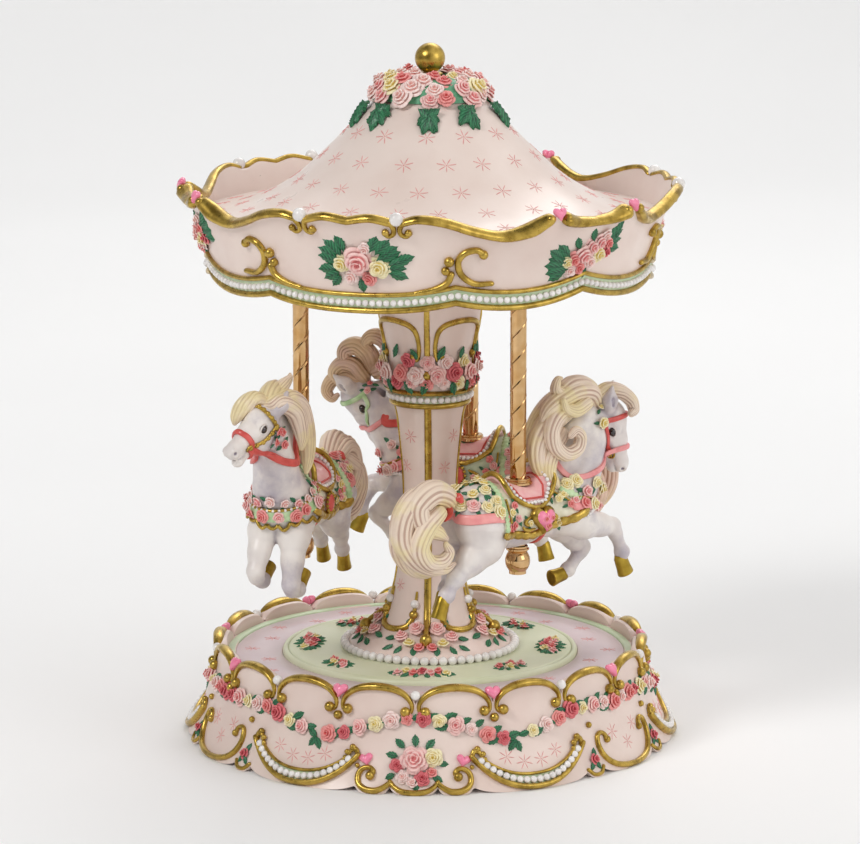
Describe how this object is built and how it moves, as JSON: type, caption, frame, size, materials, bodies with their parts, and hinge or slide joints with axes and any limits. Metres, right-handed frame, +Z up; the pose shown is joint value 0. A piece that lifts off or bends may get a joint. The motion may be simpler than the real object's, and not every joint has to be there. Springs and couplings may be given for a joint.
{
  "type": "carousel music box",
  "caption": "Round wind-up carousel music box with a scalloped base, a central column, a turning canopy and horses on twisted poles.",
  "frame": {"origin": "on the turning axis at the level of the table", "axes": "+Z up along the turning axis, the base's bouquet panel faces -Y"},
  "size_m": [0.2043, 0.2044, 0.2885],
  "materials": {
    "painted_resin": "satin pearl-pink paint over cast resin",
    "deck_resin": "satin mauve paint",
    "medallion_resin": "satin pale green paint",
    "gold_paint": "antique gold paint, dark in the hollows",
    "horse_resin": "satin ivory paint with a lavender wash",
    "rose_resin": "matt painted roses",
    "leaf_resin": "matt dark green with black-green hollows",
    "pearl": "glossy pearl",
    "pink_enamel": "glossy pink",
    "brass": "polished",
    "steel": "bright",
    "nylon": "matt",
    "base_board": "matt"
  },
  "bodies": {
    "base": {"base_casting": "painted_resin", "deck_medallion": "medallion_resin", "bottom_plate": "base_board", "bottom_plate_screw_1": "steel", "bottom_plate_screw_2": "steel", "bottom_plate_screw_3": "steel", "column_shaft": "painted_resin", "column_collar": "gold_paint", "column_capital": "painted_resin", "cam_drum": "nylon", "spindle_bush_lower": "brass", "spindle_bush_upper": "brass", "movement_bedplate": "steel", "movement_screw_1": "steel", "movement_screw_2": "steel", "cylinder_bracket_inner": "steel", "cylinder_bracket_outer": "steel", "comb": "steel", "comb_block": "brass", "governor_bracket": "steel"},
    "canopy": {"valance_ring": "painted_resin", "roof_shell": "painted_resin", "soffit_plate": "painted_resin", "flower_crown": "rose_resin", "canopy_hub": "nylon", "hub_nut": "steel", "finial_collar": "gold_paint", "finial_ball": "gold_paint", "drive_spindle": "steel", "spring_barrel": "brass", "pole_bush_1": "brass", "pole_bush_2": "brass", "pole_bush_3": "brass"},
    "music_cylinder": {"pinned_cylinder": "brass", "cylinder_pinion": "brass", "cylinder_wheel": "brass"},
    "governor": {"governor_worm": "steel", "governor_fly": "brass"},
    "winder": {"winding_arbor": "steel", "winding_key": "brass"},
    "horse_set_1": {"horse_1": "horse_resin", "pole_1": "brass", "pole_ball_1": "brass", "saddle_collar_1": "brass", "cam_follower_1": "nylon"},
    "horse_set_2": {"horse_2": "horse_resin", "pole_2": "brass", "pole_ball_2": "brass", "saddle_collar_2": "brass", "cam_follower_2": "nylon"},
    "horse_set_3": {"horse_3": "horse_resin", "pole_3": "brass", "pole_ball_3": "brass", "saddle_collar_3": "brass", "cam_follower_3": "nylon"}
  },
  "joints": [
    {"name": "carousel_spin", "type": "hinge", "parent": "base", "child": "canopy", "pos_m": [0, 0, 0.21], "axis": [0, 0, 1], "continuous": true},
    {"name": "cylinder_spin", "type": "hinge", "parent": "base", "child": "music_cylinder", "pos_m": [0, 0.028, 0.0184], "axis": [0, 1, 0], "continuous": true},
    {"name": "governor_spin", "type": "hinge", "parent": "base", "child": "governor", "pos_m": [0.0086, 0.0424, 0.018], "axis": [0, 0, 1], "continuous": true},
    {"name": "key_turn", "type": "hinge", "parent": "base", "child": "winder", "pos_m": [0, 0, 0.006], "axis": [0, 0, 1], "range_deg": [0, 2250]},
    {"name": "horse_lift_1", "type": "slide", "parent": "canopy", "child": "horse_set_1", "axis": [0, 0, 1], "range_m": [-0.004, 0.004]},
    {"name": "horse_lift_2", "type": "slide", "parent": "canopy", "child": "horse_set_2", "axis": [0, 0, 1], "range_m": [-0.004, 0.004]},
    {"name": "horse_lift_3", "type": "slide", "parent": "canopy", "child": "horse_set_3", "axis": [0, 0, 1], "range_m": [-0.004, 0.004]}
  ],
  "couplings": [
    {"joint": "cylinder_spin", "follows": "carousel_spin", "ratio": 3},
    {"joint": "governor_spin", "follows": "carousel_spin", "ratio": -120},
    {"joint": "horse_lift_2", "follows": "horse_lift_1", "ratio": 1},
    {"joint": "horse_lift_3", "follows": "horse_lift_1", "ratio": 1}
  ]
}
